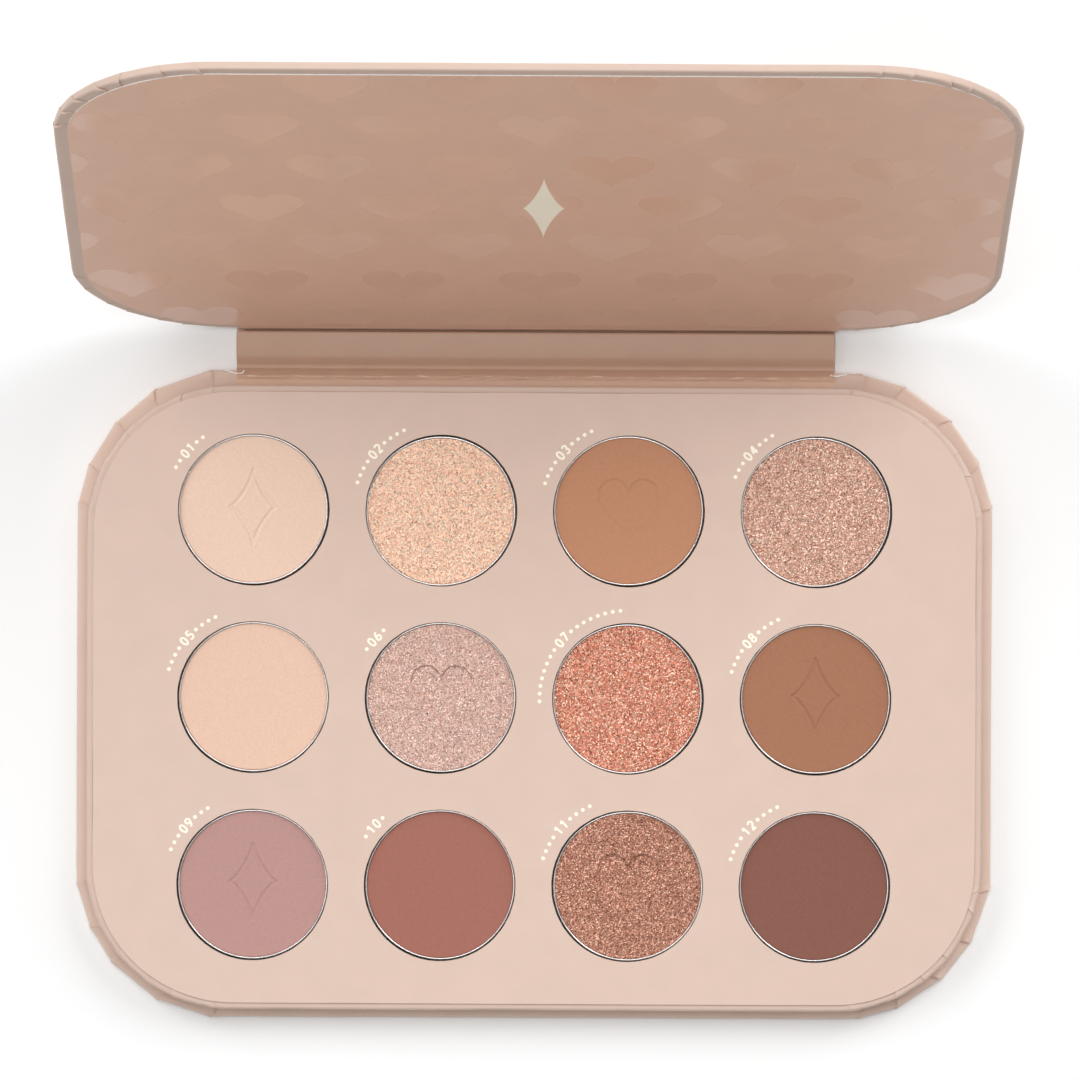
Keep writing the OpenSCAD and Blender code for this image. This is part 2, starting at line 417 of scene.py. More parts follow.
def make_piece(name, part, materials, sharp=35, merge=False):
    """A mesh object from a part, shaded smooth with creases sharper than the given angle.

    A part has its vertices, its faces and, where it has several materials, each face's material index.
    """
    vertices, faces, *indices = part
    mesh = bpy.data.meshes.new(name)
    mesh.from_pydata([tuple(map(float, v)) for v in vertices], [], faces)
    for material in materials:
        mesh.materials.append(material)
    if indices:
        mesh.polygons.foreach_set("material_index", indices[0])
    work = bmesh.new()
    work.from_mesh(mesh)
    if merge:
        bmesh.ops.remove_doubles(work, verts=work.verts, dist=0.0005 * MM)
    bmesh.ops.recalc_face_normals(work, faces=work.faces)
    work.to_mesh(mesh)
    work.free()
    mesh.shade_smooth()
    mesh.set_sharp_from_angle(angle=math.radians(sharp))
    piece = bpy.data.objects.new(name, mesh)
    bpy.context.scene.collection.objects.link(piece)
    return piece


def loop_faces(first, second, count):
    """Quads between two closed rings of vertices that start at the given indices."""
    return [
        (first + j, first + (j + 1) % count, second + (j + 1) % count, second + j)
        for j in range(count)
    ]


def joined(parts):
    """Several parts as one."""
    vertices, faces, indices = [], [], []
    for part_vertices, part_faces, part_indices in parts:
        offset = len(vertices)
        vertices.extend(part_vertices)
        faces.extend(tuple(i + offset for i in face) for face in part_faces)
        indices.extend(part_indices)
    return vertices, faces, indices


def prism(outline, z0, z1, side=0):
    """A flat plate from a plane outline, as a part. Side is the material index of its rim."""
    count = len(outline)
    vertices = [(x, y, z0) for x, y in outline] + [(x, y, z1) for x, y in outline]
    faces = [tuple(range(count - 1, -1, -1)), tuple(range(count, 2 * count))]
    faces += loop_faces(0, count, count)
    return vertices, faces, [0, 0] + [side] * count


def ribbon(points, half, z0, z1):
    """A flat strip of even width along points, as a part."""
    last = len(points) - 1
    closed = math.dist(points[0], points[-1]) < 1e-7
    vertices = []
    for k, point in enumerate(points):
        before, after = points[max(0, k - 1)], points[min(last, k + 1)]
        if closed and k in (0, last):
            before, after = points[-2], points[1]
        direction = (Vector(after) - Vector(before)).normalized()
        side = Vector((-direction.y, direction.x)) * half
        for x, y in (Vector(point) + side, Vector(point) - side):
            vertices += [(x, y, z0), (x, y, z1)]
    faces = []
    for a in range(0, 4 * last, 4):
        b = a + 4
        faces += [(a + 1, a + 3, b + 3, b + 1), (a, b, b + 2, a + 2)]
        faces += [(a, a + 1, b + 1, b), (a + 2, b + 2, b + 3, a + 3)]
    end = 4 * last
    faces += [(0, 2, 3, 1), (end, end + 1, end + 3, end + 2)]
    return vertices, faces, [0] * len(faces)


def waver(x, y, seed):
    """A smooth random value, about -1 to 1, that changes over one unit of x and y."""
    return noise.noise(Vector((x, y, seed)))


# ---- Outlines ----

SIDE_STEP = 4 * MM
CORNER_STEPS = 24
MARK_STEPS = 64
TONGUE_STEPS = 26


def arc(cx, cy, rx, ry, start, end, steps=12):
    """Points along part of an ellipse, from the angle start to the angle end."""
    found = []
    for k in range(steps + 1):
        angle = math.radians(start + (end - start) * k / steps)
        found.append((cx + rx * math.cos(angle), cy + ry * math.sin(angle)))
    return found


def circle(cx, cy, radius, steps):
    """Points round a circle, anticlockwise."""
    turns = [2 * math.pi * k / steps for k in range(steps)]
    return [(cx + radius * math.cos(t), cy + radius * math.sin(t)) for t in turns]


def rounded_corners(width, depth, radius):
    """Centre and first angle of each corner of a rounded rectangle, anticlockwise from the back right."""
    return [
        (sx * (width / 2 - radius), sy * (depth / 2 - radius), start)
        for sx, sy, start in ((1, 1, 0), (-1, 1, 90), (-1, -1, 180), (1, -1, 270))
    ]


def straight_side(corners, index, radius):
    """Points inside the straight side that follows a corner, and the way this side faces."""
    cx, cy, start = corners[index]
    next_x, next_y, _ = corners[(index + 1) % 4]
    angle = math.radians(start + 90)
    nx, ny = math.cos(angle), math.sin(angle)
    begin = Vector((cx + radius * nx, cy + radius * ny))
    end = Vector((next_x + radius * nx, next_y + radius * ny))
    steps = max(2, round((end - begin).length / SIDE_STEP))
    return [begin.lerp(end, k / steps) for k in range(1, steps)], (nx, ny)


def smooth_outline(width, depth, radius, inset=0.0):
    """Points round a rounded rectangle, or the same distance inside it, anticlockwise."""
    points = []
    radius -= inset
    corners = rounded_corners(width - 2 * inset, depth - 2 * inset, radius)
    for index, (cx, cy, start) in enumerate(corners):
        points += arc(cx, cy, radius, radius, start, start + 90, CORNER_STEPS)
        points += [tuple(p) for p in straight_side(corners, index, radius)[0]]
    return points


def pleated_stations(width, depth, radius, seed, facets, flatness, lift, calm=()):
    """Stations round a rounded rectangle whose corners are covered by pleated paper.

    Each is (x, y, normal x, normal y, bulge, lift, skew): a point of the plain outline, how far the
    flat facet stands out or in there, how far the overlapping pleat lifts off, and how much the pleat slants.
    """
    rng = random.Random(seed)
    stations = []
    corners = rounded_corners(width, depth, radius)
    for index, (cx, cy, start) in enumerate(corners):
        # the straight sides run on to the first and the last vertex, so both end facets are half ones
        shares = [0.5] + [1 + rng.uniform(-FACET_SPREAD, FACET_SPREAD) for _ in range(facets)] + [0.5]
        parts = len(shares)
        edges = [0.0]
        for share in shares:
            edges.append(edges[-1] + 90 * share / sum(shares))
        gaps = [after - before for before, after in zip(edges, edges[1:])]
        gaps[0] *= 2
        gaps[-1] *= 2
        # each bend stands out so far that the facets beside it clear the board
        reach = [radius + SIDE_OUT]
        reach += [(radius - FACET_IN) / math.cos(math.radians(max(pair) / 2)) for pair in zip(gaps, gaps[1:])]
        reach.append(radius + SIDE_OUT)
        angles = [math.radians(start + edge) for edge in edges]
        bends = [Vector((math.cos(a), math.sin(a))) * r for a, r in zip(angles, reach)]
        heights = [rng.uniform(*lift) for _ in range(parts)]
        heights[0] = 0.0
        if index in calm:
            heights = [h * CALM_PLEAT for h in heights]
        slants = [rng.uniform(-PLEAT_SLANT, PLEAT_SLANT) for _ in range(parts + 1)]
        for k in range(parts):
            for t, shape in zip(PLEAT_STEPS, PLEAT_SHAPE):
                point = bends[k].lerp(bends[k + 1], t)
                distance = point.length
                nx, ny = point / distance
                skew = slants[k] + (slants[k + 1] - slants[k]) * t
                if k == parts - 1:
                    shape = max(0.0, shape)
                stations.append((
                    cx + radius * nx, cy + radius * ny, nx, ny,
                    (distance - radius) * flatness, heights[k] * shape, skew,
                ))
        side, normal = straight_side(corners, index, radius)
        for spot in side:
            drift = waver(spot.x * 60, spot.y * 60, seed) * 0.06 * MM + SIDE_OUT
            stations.append((spot.x, spot.y, *normal, drift, 0.0, 0.0))
    return np.array(stations)


def place_ring(stations, inset, z, out_weight, up_weight, along, fade_span):
    """Vertices of one ring of wrapping paper at the given inset and height."""
    x, y, nx, ny, bulge, lift, skew = stations.T
    fade = max(0.0, 1 - (inset / fade_span) ** 2)
    shift = -inset + bulge * fade + lift * out_weight * PLEAT_OUT
    slide = skew * along
    return np.stack([x + nx * shift - ny * slide, y + ny * shift + nx * slide, z + lift * up_weight], axis=1)


def ring_paper(stations, rings, fade_span):
    """Vertices and side faces of paper that runs through the given rings."""
    count = len(stations)
    vertices = []
    faces = []
    for k, ring in enumerate(rings):
        vertices.extend(place_ring(stations, *ring, fade_span))
        if k:
            faces += loop_faces((k - 1) * count, k * count, count)
    return vertices, faces


def plain_rings(spots):
    """Rings at each (inset, z) that no pleat lifts."""
    return [(inset, z, 0.0, 0.0, 0.0) for inset, z in spots]


def quarter(inset_centre, z_centre, radius, start, end, steps=5):
    """Points (inset, z, out, up) on a rounded edge; the angle 0 faces out and 90 faces up."""
    return [
        (inset_centre - radius * out, z_centre + radius * up, out, up)
        for out, up in arc(0, 0, 1, 1, start, end, steps)
    ]


# ---- Wrapped cover boards ----


def cover_paper(name, seed, pleats, material):
    """Wrapping paper of a cover board that lies outer face down: face, side and pleated turn-in."""
    stations = pleated_stations(CASE_W, CASE_D, CORNER_R, seed, **pleats)
    count = len(stations)
    low_r = 0.45 * MM
    high_r = 0.4 * MM
    middle = TURN_IN_TOP / 2
    rings = plain_rings((inset * MM, 0.0) for inset in (14, 6, 2.5, 1.2, 0.8))
    for inset, z, out, up in quarter(low_r, low_r, low_r, -90, 0):
        rings.append((inset, z, out, 0.0, z - middle))
    rings.append((0.0, middle, 1.0, 0.0, 0.0))
    for inset, z, out, up in quarter(high_r, TURN_IN_TOP - high_r, high_r, 0, 90):
        rings.append((inset, z, out, max(0.0, up), z - middle + inset))
    for inset, up in ((0.8, 1.0), (1.15, 0.9), (1.5, 0.4), (2.5, 0.15), (4.5, 0.0), (12, 0.0)):
        rings.append((inset * MM, TURN_IN_TOP, 0.0, up, TURN_IN_TOP - middle + min(inset, 1.5) * MM))
    # the inner side of the paper, against the board
    high = TURN_IN_TOP - PAPER
    rings += plain_rings([
        (TURN_IN, high), (PAPER + 0.05 * MM, high), (PAPER, high - 0.05 * MM),
        (PAPER, PAPER + 0.05 * MM), (PAPER + 0.3 * MM, PAPER), (14 * MM, PAPER),
    ])
    vertices, faces = ring_paper(stations, rings, 4 * MM)
    last = (len(rings) - 1) * count
    faces += [tuple(range(count - 1, -1, -1)), tuple(range(last, last + count))]
    return make_piece(name, (vertices, faces), [material], sharp=32, merge=True)


# Takes a cover board lying outer face down, hinge edge at -Y, to the leaning lid
AT_LID = (
    Matrix.Translation(LID_FOLD)
    @ Matrix.Rotation(LEAN, 4, "X")
    @ Matrix.Translation((0, FOLD_MARGIN + CASE_D / 2, -LID_FOLD.z))
)

bottom_cover = cover_paper("bottom_cover_paper", 11, BASE_PLEATS, MAT_WRAP)
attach(bottom_cover, "base")
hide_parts("bottom_wrap")

lid_cover = cover_paper("lid_cover_paper", 23, LID_PLEATS, MAT_LID_WRAP_SHADED)
lid_cover.matrix_world = AT_LID
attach(lid_cover, "lid")
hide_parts("lid_wrap")

# ---- Lining sheets ----


def with_tongue(outline, hinge_sign, reach):
    """Pulls the part of an outline's hinge side that is as wide as the folds out to the hinge edge."""
    limit = max(y * hinge_sign for x, y in outline)
    kept = [(x, y) for x, y in outline if abs(y * hinge_sign - limit) >= 1e-6 or abs(x) >= FOLD_HALF]
    # the gap in the kept points is where the tongue goes
    gap = max(range(len(kept)), key=lambda i: math.dist(kept[i - 1], kept[i]))
    edge = [(FOLD_HALF - 2 * FOLD_HALF * k / TONGUE_STEPS, reach) for k in range(TONGUE_STEPS + 1)]
    tongue = [(FOLD_HALF, limit), *edge, (-FOLD_HALF, limit)]
    return kept[gap:] + kept[:gap] + [(x * hinge_sign, y * hinge_sign) for x, y in tongue]


def wobbled(outline, seed, amount):
    """An outline cut by hand: it drifts in and out a little."""
    return [
        (x + waver(x * 70, y * 70, seed) * amount, y + waver(x * 70, y * 70, seed + 9) * amount)
        for x, y in outline
    ]


HIDDEN_INSET = 3 * MM
bottom_outline = smooth_outline(CASE_W, CASE_D, CORNER_R, HIDDEN_INSET)
RIDGE_Y = CASE_D / 2 - 0.85 * MM
bottom_outline = with_tongue(bottom_outline, 1, RIDGE_Y - 0.1 * MM)
part = prism(bottom_outline, TURN_IN_TOP + 0.002 * MM, BOARD_TOP)
# this sheet takes the ledge's copy of the lining, toned with painted light and shade
bottom_sheet = make_piece("bottom_lining_sheet", part, [MAT_LEDGE_LINING_PAINTED_LIGHT])
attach(bottom_sheet, "base")
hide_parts("bottom_lining")

lid_outline = smooth_outline(CASE_W, CASE_D, CORNER_R, LINING_INSET)
lid_outline = with_tongue(lid_outline, -1, CASE_D / 2 - 0.1 * MM)
lid_outline = [(x + LINING_SHIFT, y) for x, y in wobbled(lid_outline, 5, 0.12 * MM)]
part = prism(lid_outline, TURN_IN_TOP - 0.02 * MM, BOARD_TOP + LINING_RISE, side=1)
lid_sheet = make_piece("lid_lining_sheet", part, [MAT_LINING, MAT_RAW_EDGE])
lid_sheet.matrix_world = AT_LID
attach(lid_sheet, "lid")
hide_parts("lid_lining")


def heart_outline(width, depth):
    """A heart centred on its own box, point towards -Y."""
    raw = []
    for k in range(MARK_STEPS):
        t = 2 * math.pi * k / MARK_STEPS
        y = 13 * math.cos(t) - 5 * math.cos(2 * t) - 2 * math.cos(3 * t) - math.cos(4 * t)
        raw.append((16 * math.sin(t) ** 3, y))
    low = min(y for x, y in raw)
    high = max(y for x, y in raw)
    middle = (low + high) / 2
    return [(-x * width / 32, (y - middle) * depth / (high - low)) for x, y in raw]


def star_outline(width, depth):
    """A four-pointed star with hollow sides."""
    return [
        (math.copysign(abs(c) ** 2.6, c) * width / 2, math.copysign(abs(s) ** 2.6, s) * depth / 2)
        for c, s in circle(0, 0, 1, MARK_STEPS)
    ]


def clipped(outline, border):
    """The part of an outline inside a convex anticlockwise border."""
    result = outline
    for k in range(len(border)):
        ax, ay = border[k - 1]
        bx, by = border[k]
        if math.hypot(bx - ax, by - ay) < 1e-9:
            continue
        source, result = result, []
        for m in range(len(source)):
            px, py = source[m - 1]
            qx, qy = source[m]
            p_side = (bx - ax) * (py - ay) - (by - ay) * (px - ax)
            q_side = (bx - ax) * (qy - ay) - (by - ay) * (qx - ax)
            if (p_side >= 0) != (q_side >= 0):
                t = p_side / (p_side - q_side)
                result.append((px + (qx - px) * t, py + (qy - py) * t))
            if q_side >= 0:
                result.append((qx, qy))
        if len(result) < 3:
            return []
    cleaned = []
    for point in result:
        if not cleaned or math.dist(point, cleaned[-1]) > 0.02 * MM:
            cleaned.append(point)
    return cleaned if len(cleaned) > 2 else []


# the hearts end just inside the lining's edge
border = smooth_outline(CASE_W - 0.3 * MM, CASE_D - 0.3 * MM, CORNER_R, LINING_INSET)
border = [(x + LINING_SHIFT, y) for x, y in border]
heart = heart_outline(HEART_W, HEART_D)
hearts = []
for row in range(HEART_ROWS):
    along = HEART_FIRST_ROW + row * HEART_PITCH_Y - FOLD_MARGIN - CASE_D / 2
    for column in range(-4, 5):
        across = 0.5 * MM + (column + (0.5 if row % 2 == 0 else 0.0)) * HEART_PITCH_X
        placed = [(x + across, y + along) for x, y in heart]
        piece = clipped(placed, border)
        if piece:
            hearts.append(prism(piece, BOARD_TOP, BOARD_TOP + LINING_RISE + VARNISH_T))
varnish = make_piece("lid_heart_varnish", joined(hearts), [MAT_VARNISH])
varnish.matrix_world = AT_LID
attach(varnish, "lid")

EMBLEM = (7.0 * MM, 26.0 * MM)
EMBLEM_AT = 55.8 * MM - FOLD_MARGIN - CASE_D / 2
emblem_outline = [(x + 1.0 * MM, y + EMBLEM_AT) for x, y in star_outline(*EMBLEM)]
part = prism(emblem_outline, BOARD_TOP, BOARD_TOP + LINING_RISE + 2 * INK_T)
emblem = make_piece("lid_emblem_print", part, [MAT_INK])
emblem.matrix_world = AT_LID
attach(emblem, "lid")

# ---- Papers that cross the folds ----


def bent_sheet(
    name, path, step, thickness, x0, x1, materials, wave=0.0, seed=0, crest=None, lap=None, x_step=1.0 * MM
):
    """A sheet of paper that runs along X and follows a path in the YZ plane, in steps of the given size.

    Its short ends show a raw edge, which has the last material. Its waviness grows towards the middle of
    the path, so both of its borders stay straight. A crest (y, height, reach) adds short wrinkles and a
    painted highlight along its top, with the second material on the painted highlight and the third in front
    of it. A lap (x, height) steps up onto a sheet beneath.
    """
    path = dense(path, step)
    normals = []
    for k in range(len(path)):
        before = path[max(0, k - 1)]
        after = path[min(len(path) - 1, k + 1)]
        direction = (after - before).normalized()
        normals.append(Vector((-direction.y, direction.x)))
    columns = max(2, round((x1 - x0) / x_step))
    count = len(path)
    vertices = []
    for c in range(columns + 1):
        x = x0 + (x1 - x0) * c / columns
        for side in (1, -1):
            for k in range(count):
                along = k / (count - 1)
                share = min(1.0, 7 * along * (1 - along))
                offset = wave * share * waver(x * 160, path[k].x * 260, seed)
                if crest:
                    near = math.exp(-((path[k].x - crest[0]) / crest[2]) ** 2)
                    wrinkle = waver(x * 420, path[k].x * 1800, seed + 3)
                    wrinkle += 0.5 * waver(x * 1300, path[k].x * 2600, seed + 5)
                    offset += crest[1] * near * wrinkle
                if lap and x > lap[0]:
                    offset += lap[1] * share
                spot = path[k] + normals[k] * (side * thickness / 2 + offset)
                vertices.append((x, spot.x, spot.y))
    faces = []
    indices = []
    ring = 2 * count
    for c in range(columns):
        a = c * ring
        b = a + ring
        x = x0 + (x1 - x0) * c / columns
        for k in range(count - 1):
            faces.append((a + k, a + k + 1, b + k + 1, b + k))
            faces.append((a + count + k, b + count + k, b + count + k + 1, a + count + k + 1))
            surface = 0
            # along the crest the faces take the painted highlight, and in front of it the ledge's lining with
            # painted light and shade
            if crest:
                drift = waver(x * 260, 0, seed + 7) * 0.35 * MM
                highlight_width = waver(x * 330, 0, seed + 11) * 0.16 * MM
                beyond = (path[k].x + path[k + 1].x) / 2 - crest[0]
                if abs(beyond - drift) < highlight_width:
                    surface = 1
                elif beyond < -0.05 * MM:
                    surface = 2
            indices += [surface, 0]
        for k in (0, count - 1):
            faces.append((a + k, b + k, b + count + k, a + count + k))
            indices.append(0)
    for c in (0, columns):
        a = c * ring
        for k in range(count - 1):
            faces.append((a + k, a + k + 1, a + count + k + 1, a + count + k))
            indices.append(len(materials) - 1)
    return make_piece(name, (vertices, faces, indices), materials, sharp=50)


def rounded_path(corners, radius, steps=5):
    """A path in the plane through the given corners, each rounded off."""
    points = [Vector(c) for c in corners]
    found = [points[0]]
    for k in range(1, len(points) - 1):
        before = points[k - 1] - points[k]
        after = points[k + 1] - points[k]
        cut = min(radius, before.length * 0.45, after.length * 0.45)
        start = points[k] + before.normalized() * cut
        end = points[k] + after.normalized() * cut
        for m in range(steps + 1):
            t = m / steps
            found.append(start * (1 - t) ** 2 + points[k] * 2 * t * (1 - t) + end * t ** 2)
    found.append(points[-1])
    return found


def dense(path, step):
    """The same path with extra points, so that no gap is wider than step."""
    found = [path[0]]
    for k in range(1, len(path)):
        a, b = path[k - 1], path[k]
        parts = max(1, math.ceil((b - a).length / step))
        found += [a.lerp(b, m / parts) for m in range(1, parts + 1)]
    return found


BOARD_EDGE = CASE_D / 2
SHEET = 0.12 * MM
# Thickness of the outer paper over a fold and the height of its middle above the table
OUTER_T = 0.13 * MM
OUTER_Z = 0.085 * MM
SPINE_TURN_IN = 1.4 * MM
SPINE_LINING_LEFT = -FOLD_HALF + SPINE_TURN_IN
SPINE_LINING_RIGHT = FOLD_HALF - 0.3 * MM
# A short offset along Y; below it is turned by half the lid's lean into a value that nothing reads
BLEND_HALF = Vector((0, 0.15 * MM, 0))
top = BOARD_TOP + 0.03 * MM

# outer paper across the base's fold
path = [Vector((BOARD_EDGE - 1.2 * MM, OUTER_Z)), Vector((SPINE_FRONT + 1.2 * MM, OUTER_Z))]
base_fold = bent_sheet(
    "base_fold_paper", path, 0.1 * MM, OUTER_T, -FOLD_HALF, FOLD_HALF, [MAT_WRAP, MAT_RAW_EDGE],
)
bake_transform(base_fold)

# lining paper that sags into the groove between the base and the spine and rises over the spine
path = rounded_path(
    [
        (RIDGE_Y - 0.6 * MM, top - 0.02 * MM),
        (RIDGE_Y - 0.3 * MM, top + 0.06 * MM),
        (RIDGE_Y, top + 0.27 * MM),
        (RIDGE_Y + 0.3 * MM, top + 0.05 * MM),
        (BOARD_EDGE + 0.05 * MM, top - 0.5 * MM),
        (BOARD_EDGE + 0.5 * MM, top - 1.1 * MM),
        (BOARD_EDGE + 1.2 * MM, top - 1.0 * MM),
        (SPINE_FRONT - 0.05 * MM, top - 0.42 * MM),
        (SPINE_FRONT + 0.5 * MM, top - 0.1 * MM),
        (SPINE_FRONT + 1.25 * MM, top + 0.08 * MM),
        (SPINE_FRONT + 2.25 * MM, top + 0.21 * MM),
        (SPINE_FRONT + 3.25 * MM, top + 0.3 * MM),
        (SPINE_BACK - 0.3 * MM, top + 0.36 * MM),
        (SPINE_BACK - 0.05 * MM, top + 0.22 * MM),
    ],
    0.5 * MM,
)
# its faces take the spine lining with painted shade, a painted highlight along the crest and, in front, the
# ledge's lining with painted light and shade
base_groove = bent_sheet(
    "base_fold_lining", path, 0.12 * MM, SHEET, -FOLD_HALF + 0.1 * MM, FOLD_HALF - 0.2 * MM,
    [MAT_SPINE_LINING_SHADED, MAT_CREST_HIGHLIGHT, MAT_LEDGE_LINING_PAINTED_LIGHT, MAT_RAW_EDGE], wave=0.04 * MM, seed=4,
    crest=(RIDGE_Y, 0.14 * MM, 0.4 * MM), lap=(SPINE_LINING_LEFT, 0.07 * MM), x_step=0.4 * MM,
)
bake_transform(base_groove)

# lining paper over the spine and down its rear edge
path = rounded_path(
    [
        (SPINE_FRONT + 0.8 * MM, top - 0.1 * MM),
        (SPINE_FRONT + 2.7 * MM, top),
        (SPINE_BACK - 0.1 * MM, top),
        (SPINE_BACK + 0.05 * MM, 0.45 * MM),
        (LID_FOLD.y - 0.12 * MM, 0.38 * MM),
    ],
    0.3 * MM,
)
# the spine sheet takes the lining colour darkened with painted shade
spine_sheet = bent_sheet(
    "spine_lining_sheet", path, 0.3 * MM, 0.08 * MM, SPINE_LINING_LEFT, SPINE_LINING_RIGHT,
    [MAT_SPINE_LINING_SHADED, MAT_RAW_EDGE], wave=0.012 * MM, seed=8,
)
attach(spine_sheet, "spine")
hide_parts("spine_lining")


def rounded_bar(name, y0, y1, z0, z1, radius, materials, seed):
    """A bar as long as the folds, with rounded edges and slightly uneven, as paper round a strip of board.

    The second material, the spine lining's paper darkened with painted shade, is on its left end, where it is
    turned in.
    """
    loop = []
    for cy, cz, start in rounded_corners(y1 - y0, z1 - z0, radius):
        loop += arc(cy, cz, radius, radius, start, start + 90, 4)
    count = len(loop)
    columns = round(FOLD_HALF / MM)
    vertices = []
    faces = []
    indices = []
    for c in range(columns + 1):
        x = -FOLD_HALF + 2 * FOLD_HALF * c / columns
        pinch = 0.24 * MM if c in (0, columns) else 0.0
        for dy, dz in loop:
            y = (y0 + y1) / 2 + dy
            z = (z0 + z1) / 2 + dz + waver(x * 90, y * 300, seed) * 0.02 * MM
            y -= pinch * dy / (y1 - y0)
            vertices.append((x, y, max(0.01 * MM, z - pinch * dz / (z1 - z0))))
        if c:
            faces += loop_faces((c - 1) * count, c * count, count)
            # the turned-in left end takes the spine lining's colour and its painted shade
            printed = x < -FOLD_HALF + SPINE_TURN_IN + 1 * MM
            indices += [1 if printed and 2 <= k <= 7 else 0 for k in range(count)]
    faces += [tuple(range(count)), tuple(range(columns * count, (columns + 1) * count))]
    indices += [0, 0]
    return make_piece(name, (vertices, faces, indices), materials, sharp=50)


spine_cover = rounded_bar(
    "spine_cover_paper", SPINE_FRONT, SPINE_BACK, 0.01 * MM, TURN_IN_TOP, 0.3 * MM,
    [MAT_WRAP, MAT_SPINE_LINING_SHADED], 31,
)
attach(spine_cover, "spine")
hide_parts("spine_wrap")


# Raw edge of the outer paper that curls up at either end of the base's fold. The points are in
# millimetres outwards from the fold's end and back from the ridge.
CURLS = {
    "fold_end_curl_left": (
        -1, [(2.1, 1.0), (1.2, 0.75), (0.4, 0.45), (-0.5, 0.35), (-1.1, 0.5), (-1.35, 0.95)]
    ),
    "fold_end_curl_right": (1, [(2.0, 0.7), (1.2, 0.6), (0.4, 0.4), (-0.4, 0.4), (-0.9, 0.6)]),
}


def paper_curl(name, side, points):
    """A thin upright strip of paper edge on a smooth line through the given points."""
    placed = [(side * (FOLD_HALF + x * MM), RIDGE_Y + y * MM) for x, y in points]
    smooth = [tuple(p) for p in rounded_path(placed, 0.6 * MM, 6)]
    part = ribbon(smooth, 0.1 * MM, TURN_IN_TOP - 0.2 * MM, BOARD_TOP + 0.12 * MM)
    return make_piece(name, part, [MAT_RAW_EDGE], sharp=50)


for name, (side, points) in CURLS.items():
    curl = paper_curl(name, side, points)
    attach(curl, "base")


def on_lid(w, v):
    """A point of the YZ plane, w along the lid from its fold line and v above its outer face."""
    return Vector((
        LID_FOLD.y + w * math.cos(LEAN) - (v - LID_FOLD.z) * math.sin(LEAN),
        LID_FOLD.z + w * math.sin(LEAN) + (v - LID_FOLD.z) * math.cos(LEAN),
    ))


# outer paper from the spine to the lid
fold_r = LID_FOLD.z - OUTER_Z
path = [Vector((SPINE_BACK - 1.2 * MM, OUTER_Z)), Vector((LID_FOLD.y - 0.3 * MM, OUTER_Z))]
path += [Vector(p) for p in arc(LID_FOLD.y, LID_FOLD.z, fold_r, fold_r, -90, math.degrees(LEAN) - 90, 8)]
path += [on_lid(0.3 * MM, OUTER_Z), on_lid(1.6 * MM, OUTER_Z)]
lid_fold = bent_sheet(
    "lid_fold_paper", path, 0.15 * MM, OUTER_T, -FOLD_HALF, FOLD_HALF, [MAT_WRAP, MAT_RAW_EDGE],
)
across = Matrix.Rotation(LEAN / 2, 3, "X") @ BLEND_HALF
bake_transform(lid_fold)

# lining paper from the lid's edge down to the fold line
path = rounded_path(
    [
        on_lid(FOLD_MARGIN + 0.9 * MM, top),
        on_lid(FOLD_MARGIN - 0.08 * MM, top - 0.02 * MM),
        on_lid(FOLD_MARGIN - 0.10 * MM, 0.45 * MM),
        on_lid(0.06 * MM, 0.38 * MM),
    ],
    0.25 * MM,
)
lid_edge = bent_sheet(
    "lid_fold_lining", path, 0.2 * MM, 0.08 * MM, -FOLD_HALF + 0.2 * MM, FOLD_HALF - 0.2 * MM,
    [MAT_LINING, MAT_RAW_EDGE], wave=0.012 * MM, seed=15,
)
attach(lid_edge, "lid")

# ---- Tray ----


def tray_paper(name, seed):
    """Paper round the tray's side, turned in over its top and under its bottom."""
    stations = pleated_stations(TRAY_W, TRAY_D, TRAY_CORNER_R, seed, **TRAY_PLEATS)
    stations[:, 1] += TRAY_Y
    low = BOARD_TOP + 0.01 * MM
    low_r = 0.3 * MM
    high_r = 0.55 * MM
    middle = (low + SHEET_LOW) / 2
    rings = plain_rings((inset * MM, low) for inset in (6, 3, 1.2))
    for inset, z, out, up in quarter(low_r, low + low_r, low_r, -90, 0):
        rings.append((inset, z, out * 0.6, 0.0, (z - middle) * 0.4))
    for share in (0.25, 0.5, 0.75):
        z = low + low_r + (SHEET_LOW - high_r - low - low_r) * share
        rings.append((0.0, z, 1.0, 0.0, (z - middle) * 0.4))
    for inset, z, out, up in quarter(high_r, SHEET_LOW - high_r, high_r, 0, 90, 7):
        rings.append((inset, z, out, max(0.0, up), (z - middle) * 0.4 + inset))
    for inset, up in ((0.8, 1.0), (1.05, 0.9), (1.6, 0.6), (2.5, 0.3), (4, 0.0), (6, 0.0)):
        rings.append((inset * MM, SHEET_LOW, 0.0, up, (SHEET_LOW - middle) * 0.4 + min(inset, 1.6) * MM))
    # the inner side of the paper, against the block
    high = SHEET_LOW - PAPER
    rings += plain_rings([
        (TRAY_TURN_IN, high), (PAPER, high), (PAPER, low + PAPER), (TRAY_TURN_IN, low + PAPER),
    ])
    vertices, faces = ring_paper(stations, rings, 3 * MM)
    count = len(stations)
    faces += loop_faces((len(rings) - 1) * count, 0, count)
    return make_piece(name, (vertices, faces), [MAT_TRAY_WRAP_SHADED], sharp=32, merge=True)


tray_cover = tray_paper("tray_wrap_paper", 37)
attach(tray_cover, "base")
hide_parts("tray_wrap")

HOLES = [
    ((i % COLUMNS - (COLUMNS - 1) / 2) * PITCH, ((ROWS - 1) / 2 - i // COLUMNS) * PITCH + TRAY_Y)
    for i in range(COLUMNS * ROWS)
]


